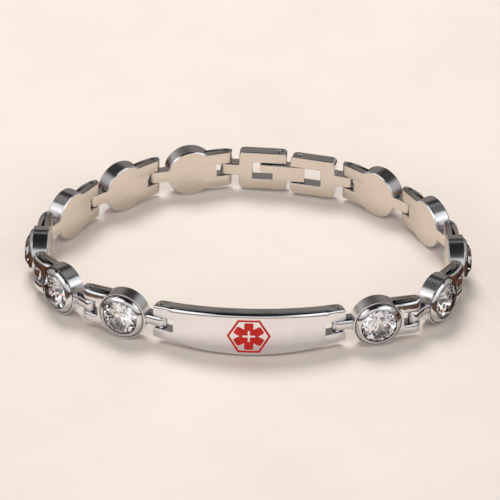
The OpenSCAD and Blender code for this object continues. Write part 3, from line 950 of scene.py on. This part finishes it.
def rounded_copy(node, place, body, radius):
    """Adds a copy of a CAD node with its triangles joined into whole faces, satin where it looks
    inwards or outwards and polished on its other sides, whose edges a Bevel rounds."""
    same_place, same_plane, sharp = 0.002 * MM, np.radians(0.6), np.radians(35)
    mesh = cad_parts[node].data.copy()
    mesh.name = f"{node}_metal"
    mesh.materials.clear()
    work = bmesh.new()
    work.from_mesh(mesh)
    bmesh.ops.remove_doubles(work, verts=work.verts, dist=same_place)
    bmesh.ops.dissolve_limit(work, angle_limit=same_plane, verts=work.verts, edges=work.edges)
    work.to_mesh(mesh)
    work.free()
    for name in [a.name for a in mesh.attributes if a.name.startswith("custom_normal")]:
        mesh.attributes.remove(mesh.attributes[name])
    turn, start = place
    count = len(mesh.polygons)
    normals = np.zeros(count * 3, np.float32)
    mesh.polygons.foreach_get("normal", normals)
    outwards = np.abs(normals.reshape(-1, 3) @ turn[:, 1])
    mesh.polygons.foreach_set("material_index", (outwards > 0.93).astype(np.int32))
    mesh.polygons.foreach_set("use_smooth", np.ones(count, bool))
    points = np.zeros(len(mesh.vertices) * 3, np.float32)
    mesh.vertices.foreach_get("co", points)
    keep_brushing(mesh, straight_brushing((points.reshape(-1, 3) - start) @ turn / MM))
    piece = show(mesh, link_metals()[:2], body, node)
    edge = piece.modifiers.new("rounded edges", "BEVEL")
    edge.width = radius * MM
    edge.segments = 3
    edge.limit_method = "ANGLE"
    edge.angle_limit = sharp
    edge.harden_normals = True
    edge.use_clamp_overlap = False


class BRACELET_OT_pins(bpy.types.Operator):
    """Turns the fifteen pins with their bevelled, slightly domed ends"""

    bl_idname = "bracelet.pins"
    bl_label = "Pins"

    def execute(self, context):
        names = [f"link_pin_{k}" for k in range(1, 14)] + ["catch_pin", "lever_pin"]
        for seed, node in enumerate(names):
            low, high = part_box(node)
            r, h = (high.x - low.x) / 2, (high.z - low.z) / 2
            tip, dome, bevel, inner, outer = np.array([0.05, 0.02, 0.15, 0.05, 0.06]) * MM
            half = eased([[0, h], [tip, h], [0.72 * r, h - dome], [r, h - bevel], [r, 0]],
                         [0, 0, inner, outer, 0])[1:]
            profile = np.concatenate([half[:-1] * [1, -1], half[::-1]])
            surface = Surface()
            grid = revolved(profile, 40)
            surface.close(surface.grid(grid, POLISHED, round_brushing(profile, grid)))
            mesh = surface.mesh(f"{node}_turned", (np.eye(3), middle(node)), seed)
            show(mesh, [link_metals()[POLISHED]], "bracelet", node)
        return {"FINISHED"}


# Stage
class BRACELET_OT_stage(bpy.types.Operator):
    """Sets out the pale floor, the soft studio light and the camera"""

    bl_idname = "bracelet.stage"
    bl_label = "Stage"

    def execute(self, context):
        look = context.scene.bracelet_stage
        floor(look)
        surround(look)
        sky()
        key = softbox("key", (-0.14, 0.46, 0.77), 0.42, 0.42, 6.6, (1.0, 0.99, 0.975))
        softbox("left", (-0.55, -0.30, 0.50), 0.75, 0.42, 1.0, (1.0, 0.99, 0.98))
        softbox("right", (0.55, -0.30, 0.50), 0.75, 0.42, 1.0, (0.98, 0.99, 1.0))
        fill = softbox("fill", (0.0, -0.46, 0.84), 0.60, 0.46, 2.55, (1.0, 0.94, 0.86))
        key.visible_glossy = fill.visible_glossy = False
        camera(look)
        context.scene.view_settings.view_transform = "Standard"
        return {"FINISHED"}


def floor(look):
    """A flat square of pale floor, just under the bracelet."""
    side = np.linspace(-3, 3, 13)
    x, y = np.meshgrid(side, side, indexing="ij")
    surface = Surface()
    surface.grid(np.stack([x, y, 0 * x - 0.02 * MM], -1), ring=False, flip=True)
    material, wire = new_material("pale_floor")
    place = wire.place()
    cloud = place.noise(30.0, 3.0, 0.6).between(0.3, 0.7)
    grain = place.noise(1500.0, 2.0)
    staged("floor", surface, finished(material, wire, {
        "Base Color": cloud.mixed(look.floor, darker(look.floor, 0.95)),
        "Roughness": 0.8 + grain * 0.1, "Normal": wire.bump(grain, 0.15, 0.1 * MM)}))


def staged(name, surface, material):
    """Adds a piece of the stage, which isn't part of the bracelet."""
    mesh = surface.mesh(name, IN_PLACE)
    mesh.materials.append(material)
    piece = added(name, mesh)
    return piece


def surround(look):
    """A shallow dark tray round the bracelet, which only reflections see: an oval edge on the
    floor, then outwards and up. Each row is the oval times a number, at a height. The oval is an
    ellipse at the back, and a superellipse, which cuts its corners short, at the front."""
    reach, middle_y, corner = [0.0405, 0.055], -0.008, 1.35
    rows = [(1.0, 0.0), (1.3, 0.0), (1.6, 0.0), (1.62, 0.002), (1.65, 0.005)]
    angle = np.arange(128) * np.pi / 64
    oval = np.stack([np.cos(angle), np.sin(angle)], 1)
    oval = np.sign(oval) * np.abs(oval) ** np.where(oval[:, 1:] < 0, corner, 1) * reach
    surface = Surface()
    surface.grid(stacked([(oval * part + [0, middle_y], height + 0.01 * MM + 0 * angle)
                          for part, height in rows]))
    material, wire = new_material("dark_surround")
    grain = wire.place().stretched((30.0, 400.0, 400.0)).noise(1.0, 3.0).between(0.4, 0.6)
    piece = staged("surround", surface, finished(material, wire, {
        "Base Color": grain.mixed(look.surround, darker(look.surround, 0.15)),
        "Roughness": 0.6}))
    piece.visible_camera = piece.visible_diffuse = piece.visible_shadow = False


def sky():
    """The studio round the bracelet: a black ceiling that starts a third of the way up, with a
    light gap across its back half, and under it a white wall in front, light grey ones at the
    sides and a brown grey one behind, all dark at the horizon."""
    world = bpy.data.worlds.new("studio")
    bpy.context.scene.world = world
    world.use_nodes = True
    world.node_tree.nodes.clear()
    wire = Wire(world.node_tree)
    way = wire.node("ShaderNodeTexCoord", None, None, "Generated")
    x, y, z = [way.node("ShaderNodeSeparateXYZ", None, {"Vector": way}, name) for name in "XYZ"]
    walls = y.between(0.15, 0.55).mixed((0.11, 0.115, 0.13), (0.25, 0.225, 0.205))
    walls = (x * x).between(0.22, 0.5).mixed(walls, (0.46, 0.45, 0.44))
    walls = y.between(-0.28, -0.48).mixed(walls, (0.78, 0.77, 0.75))
    walls = z.between(0.02, 0.13).mixed((0.035, 0.03, 0.028), walls)
    walls = (z + y * 0.03).between(0.565, 0.61).mixed(walls, (0.012, 0.012, 0.013))
    gap = z.between(0.79, 0.82) * z.between(0.88, 0.85) * y.between(0.0, 0.15)
    walls = gap.mixed(walls, (0.42, 0.41, 0.39))
    light = wire.node("ShaderNodeBackground", None, {"Color": walls, "Strength": 1.0})
    wire.node("ShaderNodeOutputWorld", None, {"Surface": light})


def softbox(name, place, width, height, power, tint):
    """A rectangular soft light that looks at the bracelet."""
    lamp = bpy.data.lights.new(name, "AREA")
    lamp.shape = "RECTANGLE"
    lamp.size, lamp.size_y = width, height
    lamp.energy = power
    lamp.color = tint
    piece = added(name, lamp)
    piece.rotation_euler = (-Vector(place)).to_track_quat("-Z", "Y").to_euler()
    piece.location = place
    return piece


def camera(look):
    """A long lens at the photograph's angle, which looks from its eye to its aim."""
    lens = bpy.data.cameras.new("camera")
    lens.lens, lens.sensor_width = look.focal, 36.0
    lens.clip_start, lens.clip_end = 0.01, 20.0
    piece = added("camera", lens)
    away = (Vector(look.eye) - Vector(look.aim)).normalized()
    right = Vector((0, 0, 1)).cross(away).normalized()
    up = away.cross(right)
    cosine, sine = np.cos(look.roll), np.sin(look.roll)
    axes = Matrix((right * cosine + up * sine, up * cosine - right * sine, away))
    piece.matrix_world = Matrix.Translation(look.eye) @ axes.transposed().to_4x4()
    bpy.context.scene.camera = piece


# Add-on
class BRACELET_PT_pieces(bpy.types.Panel):
    """The bracelet's pieces, sizes and finishes"""

    bl_label = "Bracelet"
    bl_space_type = "VIEW_3D"
    bl_region_type = "UI"
    bl_category = "Bracelet"

    def draw(self, context):
        for operator in OPERATORS:
            self.layout.operator(operator.bl_idname)
        for name, group in GROUPS.items():
            box = self.layout.box()
            box.label(text=group.__doc__.split(".")[0])
            for prop in group.__annotations__:
                box.prop(getattr(context.scene, name), prop)


GROUPS = {
    "bracelet_links": LinkSizes, "bracelet_stones": StoneSizes, "bracelet_plate": PlateSizes,
    "bracelet_emblem": EmblemSizes, "bracelet_finishes": Finishes, "bracelet_stage": StageLook,
}
OPERATORS = [
    BRACELET_OT_stage, BRACELET_OT_stone_links, BRACELET_OT_stones, BRACELET_OT_name_plate,
    BRACELET_OT_emblem, BRACELET_OT_clasp, BRACELET_OT_lever, BRACELET_OT_pins,
]


def register():
    """Registers the classes and gives each scene the sizes and finishes."""
    for cls in [*GROUPS.values(), *OPERATORS, BRACELET_PT_pieces]:
        bpy.utils.register_class(cls)
    for name, group in GROUPS.items():
        setattr(bpy.types.Scene, name, bpy.props.PointerProperty(type=group))


def unregister():
    """Takes them back, in the opposite order."""
    for name in GROUPS:
        delattr(bpy.types.Scene, name)
    for cls in [BRACELET_PT_pieces, *OPERATORS[::-1], *list(GROUPS.values())[::-1]]:
        bpy.utils.unregister_class(cls)


def main():
    """Builds the whole scene."""
    register()
    bpy.ops.bracelet.stage()
    bpy.ops.bracelet.stone_links()
    bpy.ops.bracelet.stones()
    bpy.ops.bracelet.name_plate()
    bpy.ops.bracelet.emblem()
    bpy.ops.bracelet.clasp()
    bpy.ops.bracelet.lever()
    bpy.ops.bracelet.pins()


if __name__ == "__main__":
    main()
